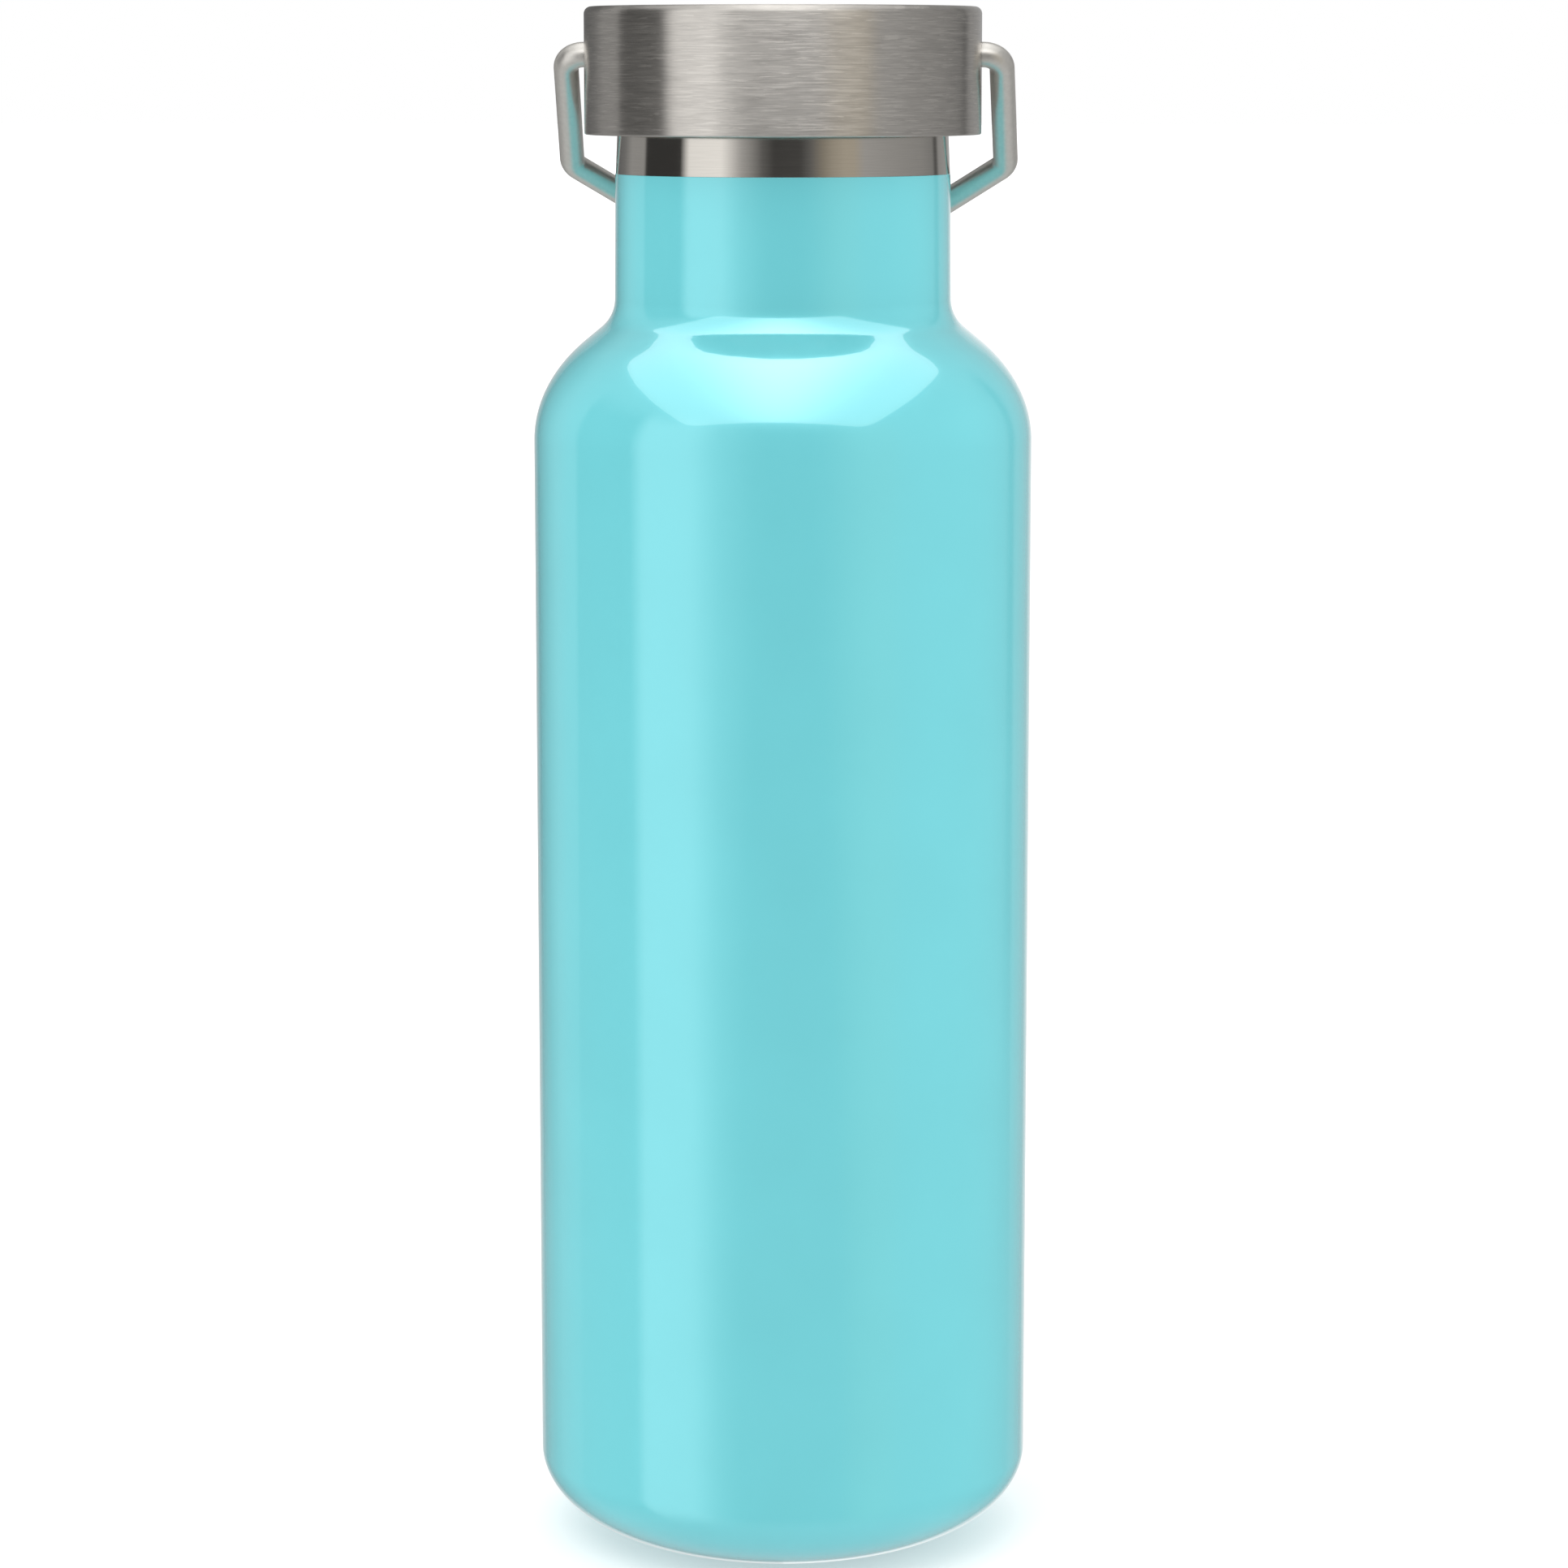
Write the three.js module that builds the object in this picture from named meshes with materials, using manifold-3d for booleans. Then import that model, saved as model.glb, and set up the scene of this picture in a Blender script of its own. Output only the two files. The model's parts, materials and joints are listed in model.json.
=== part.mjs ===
// Vacuum-insulated 500 ml steel water bottle with a screw lid and a swinging bail handle.
// Millimetres, +Z up, origin at the centre of the foot on the surface that it stands on.
// The handle's pivots lie along X, and the handle hangs down at the back, on the +Y side.
import * as THREE from 'three';
import { mergeVertices } from 'three/addons/utils/BufferGeometryUtils.js';
import Module from 'manifold-3d';

// ---- driving dimensions -------------------------------------------------------------------

const GAP = 0.3;                 // space left between pieces that touch
const AROUND = 40;               // facets round each outer turned piece
const AROUND_INNER = 32;         // round the pieces inside them
const AROUND_SMALL = 24;         // and round the small ones

const BODY_R = 35;               // outer radius of the body
const BODY_TOP_Z = 158;          // where the shoulder starts
const STEEL = 0.5;               // sheet thickness of shell, bases and lid
const LINER_STEEL = 0.4;         // and of the liner
const VACUUM = 2.4;              // space between shell and liner

const FOOT_INNER_R = 19;         // flat ring that the bottle stands on
const FOOT_OUTER_R = 20.3;
const FOOT_CORNER_R = 0.5;
const FOOT_CORNER_STEPS = 2;
const HEEL_A = 19.5;             // heel ellipse, radial and vertical half axes
const HEEL_B = 12.1;
const HEEL_SWEEP = 1.086;        // radians of the ellipse below the body, then a cone to the foot
const HEEL_STEPS = 6;
const RECESS_Z = 3;              // depth of the recess under the base

const SHOULDER_A = 29;           // shoulder ellipse, radial and vertical half axes
const SHOULDER_B = 21;
const SHOULDER_SWEEP = 0.68;     // radians of the ellipse before it runs into a cone
const SHOULDER_STEPS = 7;
const NECK_FILLET_R = 3.1;
const NECK_FILLET_STEPS = 3;
const NECK_R = 23.56;            // neck radius at its root, at the paint line and under the lid
const PAINT_LINE_R = 23.4;
const PAINT_LINE_Z = 195.1;
const MOUTH_R = 23.11;
const LIP_TOP_Z = 203.5;
const LIP_HEIGHT = 1.4;
const LIP_SETBACK = 0.35;        // step between the lip's lower edge and the shell's outside
const LIP_FILLET = 0.6;

const LINER_NECK_R = 21.9;       // outer radius of the liner in the neck
const LINER_FLOOR_Z = 8;         // underside of the liner's welded base
const LINER_HEEL_R = 8;
const LINER_HEEL_SWEEP = 0.4 * Math.PI;
const LINER_HEEL_STEPS = 3;
const LINER_SHOULDER_DROP = 1;   // how far its shoulder starts below the shell's
const LINER_SHOULDER_TRIM = 2;   // and how much smaller its ellipse is
const DISH_DEPTH = 2;            // how far the middle of each base is domed
const DISH_RIM = 3;              // width of the flat rim round the dome
const DISH_STEPS = 4;

const THREAD_PITCH = 4;
const THREAD_STEPS = 32;         // straight steps in each turn of thread
const THREAD_SIDES = 8;
const FEMALE_TURNS = 2;
const FEMALE_BEAD_R = 1.1;
const FEMALE_START_Z = 192;
const MALE_TURNS = 1.75;
const MALE_BEAD_R = 1.3;
const MALE_START_Z = 190;
const THREAD_TRIM = 5;           // reach of a trimming disc below a thread's start

const LID_R = 27.67;
const LID_BOTTOM_Z = 200.5;
const LID_TOP_Z = 218.1;
const LID_TOP_FILLET = 1.0;
const LID_INNER_FILLET = 0.5;
const LID_EDGE_FILLET = 0.28;
const LID_FILLET_STEPS = 4;
const LID_HOLE_CLEARANCE = 0.45; // space round the handle where it passes through the lid

const PLUG_BOTTOM_Z = 185.5;
const PLUG_CORE_R = 19.6;
const PLUG_WALL = 1.6;
const PLUG_CHAMFER = 1;
const FLANGE_Z = 206.5;          // underside of the flange, above the gasket
const FLANGE_THICK = 1.9;
const SKIRT_INNER_R = 24.6;
const SKIRT_WALL = 1.6;
const SKIRT_LIFT = 0.7;          // how far the skirt ends above the lid's lower edge
const SKIRT_CHAMFER = 0.6;
const BOSS_HALF_WIDTH = 4.8;
const FOAM_TOP_CLEARANCE = 0.4;

const GASKET_HEIGHT = 2.4;
const GASKET_OUTER_R = 24.2;
const GASKET_EDGE_R = 0.7;

const PIVOT_Z = 211.5;
const ROD_R = 1.75;              // bail rod
const ROD_SIDES = 10;
const ROD_STEPS = 80;
const PIN_END_X = 22.4;          // inner end of each pivot
const BAIL_TOP_X = 30.4;         // rod centre line: upper corner, lower corner, end bar
const BAIL_LOW_X = 31.0;
const BAIL_BAR_X = 15.15;
const BAIL_LEG = 21.85;          // pivot to lower corner, in the bail's plane
const BAIL_LENGTH = 36.13;       // pivot to end bar
const BAIL_TILT = Math.PI / 4;   // hanging angle back from straight down
const BEND_R = 2.6;              // centre line radius of the bends

const BUSH_R = 2.7;
const BUSH_BORE_R = 2.05;
const BUSH_FLANGE_R = 3.6;
const BUSH_FLANGE = 0.8;
const BUSH_INNER_X = 22;         // inner end of each bush
const BUSH_BORE_DEPTH_X = 21.6;  // and of the bore in the plug that holds it
const BUSH_SEAT_DEPTH = 1.4;     // depth of the seat for its flange

const FOIL_STAND_OFF = 0.5;      // space between liner and foil
const FOIL_THICK = 0.25;
const FOIL_BOTTOM_Z = 16;
const FOIL_TOP_Z = 150;
const GETTER_R = 4;
const GETTER_HEIGHT = 1.2;
const GETTER_TOP_Z = 9.5;
const SEAL_R = 2.6;
const SEAL_BULGE = 1.1;
const SEAL_STEPS = 4;
const VENT_R = 0.9;

// ---- colours and finishes -----------------------------------------------------------------

const finish = (color, roughness, metalness) =>
  new THREE.MeshStandardMaterial({ color, roughness, metalness });

const paint = finish(0x7fd7de, 0.12, 0.1);
const steel = finish(0xb9b5ae, 0.2, 1);
const brushed = finish(0xa9a49c, 0.4, 1);
const foil = finish(0xc98a5b, 0.3, 1);
const glass = finish(0x5a6a60, 0.1, 0);
const grey = finish(0x6f7072, 0.6, 0.4);
const plastic = finish(0x26282a, 0.5, 0);
const foam = finish(0xe9e4d2, 0.95, 0);
const silicone = finish(0xdfe4e2, 0.55, 0);

// ---- outlines -----------------------------------------------------------------------------

const QUARTER = Math.PI / 2;

const point = (r, z) => new THREE.Vector2(r, z);

// Points on an arc of an ellipse, both ends included. Angles run from +r towards +z.
function arc(r, z, a, b, start, end, steps) {
  const points = [];
  for (let i = 0; i <= steps; i++) {
    const t = start + (end - start) * i / steps;
    points.push(point(r + a * Math.cos(t), z + b * Math.sin(t)));
  }
  return points;
}

// Points on an arc of a circle.
const bend = (r, z, radius, start, end, steps) => arc(r, z, radius, radius, start, end, steps);

// A run of points moved sideways by a distance, to the left of its direction of travel.
function offset(points, distance) {
  return points.map((p, i) => {
    const before = points[Math.max(i - 1, 0)];
    const after = points[Math.min(i + 1, points.length - 1)];
    const along = after.clone().sub(before).normalize();
    return point(p.x - along.y * distance, p.y + along.x * distance);
  });
}

// Shoulder and neck root from the cylinder up: ellipse, cone, then a hollow fillet into the neck.
function shoulder(cylinderR, neckR, startZ, a, b) {
  const dome = arc(cylinderR - a, startZ, a, b, 0, SHOULDER_SWEEP, SHOULDER_STEPS);
  const last = dome[dome.length - 1];
  const along = point(-a * Math.sin(SHOULDER_SWEEP), b * Math.cos(SHOULDER_SWEEP)).normalize();
  const out = point(along.y, -along.x);
  const filletX = neckR + NECK_FILLET_R;
  const filletZ = last.y + (NECK_FILLET_R - (filletX - last.x) * out.x) / out.y;
  const tangent = Math.atan2(-out.y, -out.x);
  return [...dome, ...bend(filletX, filletZ, NECK_FILLET_R, tangent, -Math.PI, NECK_FILLET_STEPS)];
}

// Outside of the painted shell, from the foot's inner edge to the mouth.
function shellOutline() {
  const cornerR = FOOT_INNER_R + FOOT_CORNER_R;
  return [
    point(FOOT_INNER_R, RECESS_Z),
    ...bend(cornerR, FOOT_CORNER_R, FOOT_CORNER_R, Math.PI, 3 * QUARTER, FOOT_CORNER_STEPS),
    point(FOOT_OUTER_R, 0),
    ...arc(BODY_R - HEEL_A, HEEL_B, HEEL_A, HEEL_B, -HEEL_SWEEP, 0, HEEL_STEPS),
    ...shoulder(BODY_R, NECK_R, BODY_TOP_Z, SHOULDER_A, SHOULDER_B),
    point(PAINT_LINE_R, PAINT_LINE_Z),
    point(MOUTH_R, LID_BOTTOM_Z),
    point(MOUTH_R, LIP_TOP_Z - LIP_HEIGHT - GAP),
  ];
}

// ---- solids -------------------------------------------------------------------------------

const MERGE_DISTANCE = 1e-4;

const wasm = await Module();
wasm.setup();

// Turned piece from a closed outline, or from one that starts and ends on the axis.
function turned(points, around = AROUND) {
  const geometry = new THREE.LatheGeometry(points, around);
  geometry.rotateX(QUARTER);
  return geometry;
}

const ring = (points, around = AROUND) => turned([...points, points[0]], around);

function rectangleRing(innerR, outerR, lowZ, highZ) {
  const corners = [point(innerR, lowZ), point(outerR, lowZ), point(outerR, highZ), point(innerR, highZ)];
  return ring(corners, AROUND_INNER);
}

function disc(radius, lowZ, highZ) {
  const corners = [point(0, lowZ), point(radius, lowZ), point(radius, highZ), point(0, highZ)];
  return turned(corners, AROUND_INNER);
}

// Round bar along X, from one x to another, at the height of the handle's pivots.
function barAlongX(radius, fromX, toX) {
  const geometry = new THREE.CylinderGeometry(radius, radius, Math.abs(toX - fromX), AROUND_SMALL);
  geometry.rotateZ(QUARTER);
  geometry.translate((fromX + toX) / 2, 0, PIVOT_Z);
  return geometry;
}

function toSolid(geometry) {
  const bare = geometry.clone();
  bare.deleteAttribute('normal');
  bare.deleteAttribute('uv');
  const merged = mergeVertices(bare, MERGE_DISTANCE);
  const solid = new wasm.Manifold(new wasm.Mesh({
    numProp: 3,
    vertProperties: new Float32Array(merged.attributes.position.array),
    triVerts: new Uint32Array(merged.index.array),
  }));
  return solid.volume() < 0 ? toSolid(insideOut(merged)) : solid;
}

function insideOut(geometry) {
  const index = geometry.index.array;
  for (let i = 0; i < index.length; i += 3) {
    [index[i], index[i + 1]] = [index[i + 1], index[i]];
  }
  return geometry;
}

function toGeometry(solid) {
  const mesh = solid.getMesh();
  const geometry = new THREE.BufferGeometry();
  const stride = mesh.numProp;
  const position = new Float32Array(mesh.vertProperties.length / stride * 3);
  for (let i = 0; i < position.length; i++) {
    position[i] = mesh.vertProperties[Math.floor(i / 3) * stride + i % 3];
  }
  geometry.setAttribute('position', new THREE.BufferAttribute(position, 3));
  geometry.setIndex(new THREE.BufferAttribute(new Uint32Array(mesh.triVerts), 1));
  geometry.computeVertexNormals();
  return geometry;
}

// Helix that climbs anticlockwise, as a right-hand thread does.
class Helix extends THREE.Curve {
  constructor(radius, startZ, turns) {
    super();
    Object.assign(this, { radius, startZ, turns });
  }

  getPoint(t) {
    const angle = 2 * Math.PI * this.turns * t;
    const z = this.startZ + THREAD_PITCH * this.turns * t;
    return new THREE.Vector3(this.radius * Math.cos(angle), this.radius * Math.sin(angle), z);
  }
}

function circleShape(radius, sides) {
  const points = [];
  for (let i = 0; i < sides; i++) {
    const angle = 2 * Math.PI * i / sides;
    points.push(point(radius * Math.cos(angle), radius * Math.sin(angle)));
  }
  return new THREE.Shape(points);
}

function rodAlong(curve, radius, sides, steps) {
  return new THREE.ExtrudeGeometry(circleShape(radius, sides), { extrudePath: curve, steps });
}

// Helical bead of round section, half sunk in a wall.
function threadBead(wallR, beadR, startZ, turns) {
  const steps = Math.round(THREAD_STEPS * turns);
  return toSolid(rodAlong(new Helix(wallR, startZ, turns), beadR, THREAD_SIDES, steps));
}

// ---- bottle -------------------------------------------------------------------------------

function outerShell() {
  const outside = shellOutline();
  return ring([...outside, ...offset(outside, STEEL).reverse()]);
}

// Disc with a flat rim round a dome that rises by DISH_DEPTH.
function dishedDisc(radius, lowZ) {
  const domeR = radius - DISH_RIM;
  const dome = [];
  for (let i = 0; i <= DISH_STEPS; i++) {
    const t = i / DISH_STEPS;
    dome.push(point(domeR * t, lowZ + DISH_DEPTH * (1 + Math.cos(Math.PI * t)) / 2));
  }
  const upper = dome.map((p) => point(p.x, p.y + STEEL)).reverse();
  return turned([...dome, point(radius, lowZ), point(radius, lowZ + STEEL), ...upper], AROUND_SMALL);
}

function outerBase() {
  const plate = toSolid(dishedDisc(FOOT_INNER_R - GAP, RECESS_Z - STEEL - GAP));
  const vent = new THREE.CylinderGeometry(VENT_R, VENT_R, 4 * RECESS_Z, AROUND_SMALL);
  return toGeometry(plate.subtract(toSolid(vent.rotateX(QUARTER))));
}

// Glass bead under the vent, in the hollow of the base.
function vacuumSeal() {
  const topZ = RECESS_Z - STEEL - GAP + DISH_DEPTH - GAP;
  const bulge = arc(0, topZ, SEAL_R, SEAL_BULGE, -QUARTER, 0, SEAL_STEPS).slice(1);
  return turned([point(0, topZ - SEAL_BULGE), ...bulge, point(0, topZ)], AROUND_SMALL);
}

// Pill under the middle of the liner's base, in the vacuum.
function getter() {
  return disc(GETTER_R, GETTER_TOP_Z - GETTER_HEIGHT, GETTER_TOP_Z);
}

function radiationFoil() {
  const innerR = BODY_R - STEEL - VACUUM + FOIL_STAND_OFF;
  return rectangleRing(innerR, innerR + FOIL_THICK, FOIL_BOTTOM_Z, FOIL_TOP_Z);
}

// Outside of the liner: it follows the shell inside the vacuum, then stands up in the neck.
function linerOutline() {
  const linerR = BODY_R - STEEL - VACUUM;
  const heelR = linerR - LINER_HEEL_R;
  const heelZ = LINER_FLOOR_Z + LINER_HEEL_R;
  const shoulderA = SHOULDER_A - LINER_SHOULDER_TRIM;
  const shoulderB = SHOULDER_B - LINER_SHOULDER_TRIM;
  return [
    ...bend(heelR, heelZ, LINER_HEEL_R, -LINER_HEEL_SWEEP, 0, LINER_HEEL_STEPS),
    ...shoulder(linerR, LINER_NECK_R, BODY_TOP_Z - LINER_SHOULDER_DROP, shoulderA, shoulderB),
    point(LINER_NECK_R, LIP_TOP_Z - LIP_HEIGHT),
  ];
}

function innerLiner() {
  const outside = linerOutline();
  const inside = offset(outside, LINER_STEEL).reverse();
  const insideR = LINER_NECK_R - LINER_STEEL;
  const filletZ = LIP_TOP_Z - LIP_FILLET;
  const lip = [
    point(MOUTH_R - LIP_SETBACK, LIP_TOP_Z - LIP_HEIGHT),
    ...bend(MOUTH_R - LIP_FILLET, filletZ, LIP_FILLET, 0, QUARTER, 2),
    ...bend(insideR + LIP_FILLET, filletZ, LIP_FILLET, QUARTER, Math.PI, 2),
  ];
  const wall = toSolid(ring([...outside, ...lip, ...inside], AROUND_INNER));
  const bead = threadBead(insideR, FEMALE_BEAD_R, FEMALE_START_Z, FEMALE_TURNS);
  const middleOfWall = LINER_NECK_R - LINER_STEEL / 2;
  const keepInside = toSolid(disc(middleOfWall, FEMALE_START_Z - THREAD_TRIM, filletZ));
  return toGeometry(wall.add(bead.intersect(keepInside)));
}

function innerBase() {
  const liner = linerOutline();
  return dishedDisc(liner[0].x - 2 * GAP, LINER_FLOOR_Z);
}

// ---- lid ----------------------------------------------------------------------------------

function lidShell() {
  const insideR = LID_R - STEEL;
  const insideZ = LID_TOP_Z - STEEL;
  const outline = [
    point(0, insideZ),
    ...bend(insideR - LID_INNER_FILLET, insideZ - LID_INNER_FILLET, LID_INNER_FILLET, QUARTER, 0, 2),
    ...arc(insideR + STEEL / 2, LID_BOTTOM_Z + LID_EDGE_FILLET, STEEL / 2, LID_EDGE_FILLET,
      Math.PI, 2 * Math.PI, LID_FILLET_STEPS),
    ...bend(LID_R - LID_TOP_FILLET, LID_TOP_Z - LID_TOP_FILLET, LID_TOP_FILLET,
      0, QUARTER, LID_FILLET_STEPS),
    point(0, LID_TOP_Z),
  ];
  const holes = toSolid(barAlongX(ROD_R + LID_HOLE_CLEARANCE, -1.2 * LID_R, 1.2 * LID_R));
  return toGeometry(toSolid(turned(outline)).subtract(holes));
}

// Turned body of the plug: hollow threaded core, flange over the gasket, and skirt.
function plugBody(skirtR, topZ) {
  const skirtZ = LID_BOTTOM_Z + SKIRT_LIFT;
  const hollowR = PLUG_CORE_R - PLUG_WALL;
  const outline = [
    point(0, PLUG_BOTTOM_Z),
    point(PLUG_CORE_R - PLUG_CHAMFER, PLUG_BOTTOM_Z),
    point(PLUG_CORE_R, PLUG_BOTTOM_Z + PLUG_CHAMFER),
    point(PLUG_CORE_R, FLANGE_Z),
    point(SKIRT_INNER_R, FLANGE_Z),
    point(SKIRT_INNER_R, skirtZ),
    point(skirtR, skirtZ),
    point(skirtR, topZ - SKIRT_CHAMFER),
    point(skirtR - SKIRT_CHAMFER, topZ),
    point(hollowR, topZ),
    point(hollowR, PLUG_BOTTOM_Z + PLUG_WALL),
    point(0, PLUG_BOTTOM_Z + PLUG_WALL),
  ];
  const bead = threadBead(PLUG_CORE_R, MALE_BEAD_R, MALE_START_Z, MALE_TURNS);
  const hollow = toSolid(disc(PLUG_CORE_R - PLUG_WALL / 2, MALE_START_Z - THREAD_TRIM, FLANGE_Z));
  return toSolid(turned(outline, AROUND_INNER)).add(bead.subtract(hollow));
}

// Pocket between core and skirt, above the flange, with a boss left at each pivot.
function plugPocket(skirtR, topZ) {
  const pocket = rectangleRing(PLUG_CORE_R, skirtR - SKIRT_WALL, FLANGE_Z + FLANGE_THICK, topZ + GAP);
  const bosses = new THREE.BoxGeometry(2 * LID_R, 2 * BOSS_HALF_WIDTH, 2 * LID_R);
  bosses.translate(0, 0, PIVOT_Z);
  return toSolid(pocket).subtract(toSolid(bosses));
}

// The plug is open at the top, under the steel, and its two bosses carry the pivot bushes.
function lidPlug() {
  const skirtR = LID_R - STEEL - GAP;
  const topZ = LID_TOP_Z - STEEL - GAP;
  let plug = plugBody(skirtR, topZ).subtract(plugPocket(skirtR, topZ));
  for (const side of [-1, 1]) {
    const bore = barAlongX(BUSH_R + GAP, side * BUSH_BORE_DEPTH_X, side * LID_R);
    const seat = barAlongX(BUSH_FLANGE_R + GAP, side * (skirtR - BUSH_SEAT_DEPTH), side * LID_R);
    plug = plug.subtract(toSolid(bore)).subtract(toSolid(seat));
  }
  return toGeometry(plug);
}

function lidInsulation() {
  const topZ = LID_TOP_Z - STEEL - GAP - FOAM_TOP_CLEARANCE;
  return disc(PLUG_CORE_R - PLUG_WALL - GAP, PLUG_BOTTOM_Z + PLUG_WALL + GAP, topZ);
}

// Flat ring with rounded edges on its lower face, where it meets the mouth lip.
function lidGasket() {
  const innerR = PLUG_CORE_R + GAP;
  const topZ = FLANGE_Z - GAP;
  const edgeZ = topZ - GASKET_HEIGHT + GASKET_EDGE_R;
  return ring([
    ...bend(innerR + GASKET_EDGE_R, edgeZ, GASKET_EDGE_R, Math.PI, 3 * QUARTER, 2),
    ...bend(GASKET_OUTER_R - GASKET_EDGE_R, edgeZ, GASKET_EDGE_R, -QUARTER, 0, 2),
    point(GASKET_OUTER_R, topZ),
    point(innerR, topZ),
  ], AROUND_INNER);
}

// Flanged sleeve along X. side is -1 on the left and 1 on the right.
function pivotBush(side) {
  const outerX = LID_R - STEEL - 2 * GAP;
  const profile = [
    point(BUSH_BORE_R, BUSH_INNER_X),
    point(BUSH_R, BUSH_INNER_X),
    point(BUSH_R, outerX - BUSH_FLANGE),
    point(BUSH_FLANGE_R, outerX - BUSH_FLANGE),
    point(BUSH_FLANGE_R, outerX),
    point(BUSH_BORE_R, outerX),
  ];
  const geometry = new THREE.LatheGeometry([...profile, profile[0]], AROUND_SMALL);
  geometry.rotateZ(-side * QUARTER);
  geometry.translate(0, 0, PIVOT_Z);
  return geometry;
}

// ---- handle -------------------------------------------------------------------------------

// Corners of the rod's centre line. In the bail's own plane, y runs from the pivots to the end bar.
function bailCorners() {
  const half = [
    point(PIN_END_X, 0),
    point(BAIL_TOP_X, 0),
    point(BAIL_LOW_X, BAIL_LEG),
    point(BAIL_BAR_X, BAIL_LENGTH),
  ];
  const mirrored = half.map((p) => point(-p.x, p.y)).reverse();
  return [...half, ...mirrored].map((p) => new THREE.Vector3(
    p.x, p.y * Math.sin(BAIL_TILT), PIVOT_Z - p.y * Math.cos(BAIL_TILT)));
}

// Straight runs joined by round bends.
function bailCurve() {
  const corners = bailCorners();
  const path = new THREE.CurvePath();
  let from = corners[0];
  for (let i = 1; i < corners.length - 1; i++) {
    const back = corners[i - 1].clone().sub(corners[i]).normalize();
    const ahead = corners[i + 1].clone().sub(corners[i]).normalize();
    const reach = BEND_R / Math.tan(back.angleTo(ahead) / 2);
    const enter = corners[i].clone().addScaledVector(back, reach);
    const leave = corners[i].clone().addScaledVector(ahead, reach);
    path.add(new THREE.LineCurve3(from, enter));
    path.add(new THREE.QuadraticBezierCurve3(enter, corners[i], leave));
    from = leave;
  }
  path.add(new THREE.LineCurve3(from, corners[corners.length - 1]));
  return path;
}

function bailHandle() {
  return rodAlong(bailCurve(), ROD_R, ROD_SIDES, ROD_STEPS);
}

// ---- assembly -----------------------------------------------------------------------------

const bottle = new THREE.Group();

function addPiece(name, geometry, material) {
  const mesh = new THREE.Mesh(toGeometry(toSolid(geometry)), material);
  mesh.name = name;
  bottle.add(mesh);
}

addPiece('outer_shell', outerShell(), paint);
addPiece('outer_base', outerBase(), steel);
addPiece('vacuum_seal', vacuumSeal(), glass);
addPiece('getter', getter(), grey);
addPiece('radiation_foil', radiationFoil(), foil);
addPiece('inner_liner', innerLiner(), steel);
addPiece('inner_base', innerBase(), steel);
addPiece('lid_shell', lidShell(), brushed);
addPiece('lid_plug', lidPlug(), plastic);
addPiece('lid_insulation', lidInsulation(), foam);
addPiece('lid_gasket', lidGasket(), silicone);
addPiece('pivot_bush_left', pivotBush(-1), plastic);
addPiece('pivot_bush_right', pivotBush(1), plastic);
addPiece('bail_handle', bailHandle(), steel);

export default bottle;
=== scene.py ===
import json
import math

import bmesh
import bpy
from mathutils import Matrix, Vector


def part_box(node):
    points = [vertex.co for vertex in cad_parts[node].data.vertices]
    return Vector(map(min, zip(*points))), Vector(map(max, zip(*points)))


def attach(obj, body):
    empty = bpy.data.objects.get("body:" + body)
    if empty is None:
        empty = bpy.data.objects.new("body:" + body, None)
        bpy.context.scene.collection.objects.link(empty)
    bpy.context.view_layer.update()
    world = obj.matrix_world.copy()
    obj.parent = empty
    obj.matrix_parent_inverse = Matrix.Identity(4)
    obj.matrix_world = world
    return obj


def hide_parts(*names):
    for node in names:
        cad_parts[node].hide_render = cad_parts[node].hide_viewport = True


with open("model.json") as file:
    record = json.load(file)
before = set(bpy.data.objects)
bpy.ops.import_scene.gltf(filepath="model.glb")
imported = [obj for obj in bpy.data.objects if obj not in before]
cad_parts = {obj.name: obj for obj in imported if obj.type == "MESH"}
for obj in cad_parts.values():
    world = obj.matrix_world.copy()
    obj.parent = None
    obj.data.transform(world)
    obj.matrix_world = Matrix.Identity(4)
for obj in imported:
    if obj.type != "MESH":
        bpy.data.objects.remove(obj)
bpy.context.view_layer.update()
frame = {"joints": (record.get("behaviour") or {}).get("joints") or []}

MM = 0.001
TAU = 2 * math.pi
AROUND = 192                     # facets round most turned pieces
AROUND_SHELL = 256               # round the large pieces whose outlines show
AROUND_SMALL = 64                # round the small ones
AROUND_ROD = 40                  # and round the handle's rod

# ---- places read from the frame -------------------------------------------------------------


def low(node):
    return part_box(node)[0]


def high(node):
    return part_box(node)[1]


BODY_R = high("outer_shell").x
LID_R = high("lid_shell").x
LID_TOP = high("lid_shell").z
LID_BOTTOM = low("lid_shell").z
LIP_TOP = high("inner_liner").z
SHELL_TOP = high("outer_shell").z
PLUG_BOTTOM = low("lid_plug").z
PLUG_TOP = high("lid_plug").z
SKIRT_R = high("lid_plug").x
SKIRT_BOTTOM = LID_BOTTOM + 0.7 * MM
PIVOT_Z = next(j for j in frame["joints"] if j["name"] == "handle_swing")["pos_m"][2]

# ---- sizes of the fine shapes ---------------------------------------------------------------

STEEL = 0.5 * MM
PAINT = 0.06 * MM                # thickness of the paint film where it ends on the neck
RIM_WIDTH = 3 * MM               # flat outer part of a welded base
RIM_ROW = 1.5 * MM               # from its edge to the row of points on it
VENT_R = 0.9 * MM                # the hole that the glass bead closes
FOOT_RECESS = 3 * MM             # height of the foot's inner wall
FOOT_INNER_R = 19.0 * MM
FOOT_OUTER_R = 20.3 * MM
HEEL_A, HEEL_B, HEEL_SWEEP = 19.5 * MM, 12.1 * MM, 1.086
BODY_TOP = 158 * MM
SHOULDER_A, SHOULDER_B, SHOULDER_SWEEP = 29 * MM, 21 * MM, 0.72
NECK_FILLET = 5.2 * MM
NECK_R, PAINT_LINE_R, MOUTH_R = 23.56 * MM, 23.4 * MM, 23.11 * MM
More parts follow.
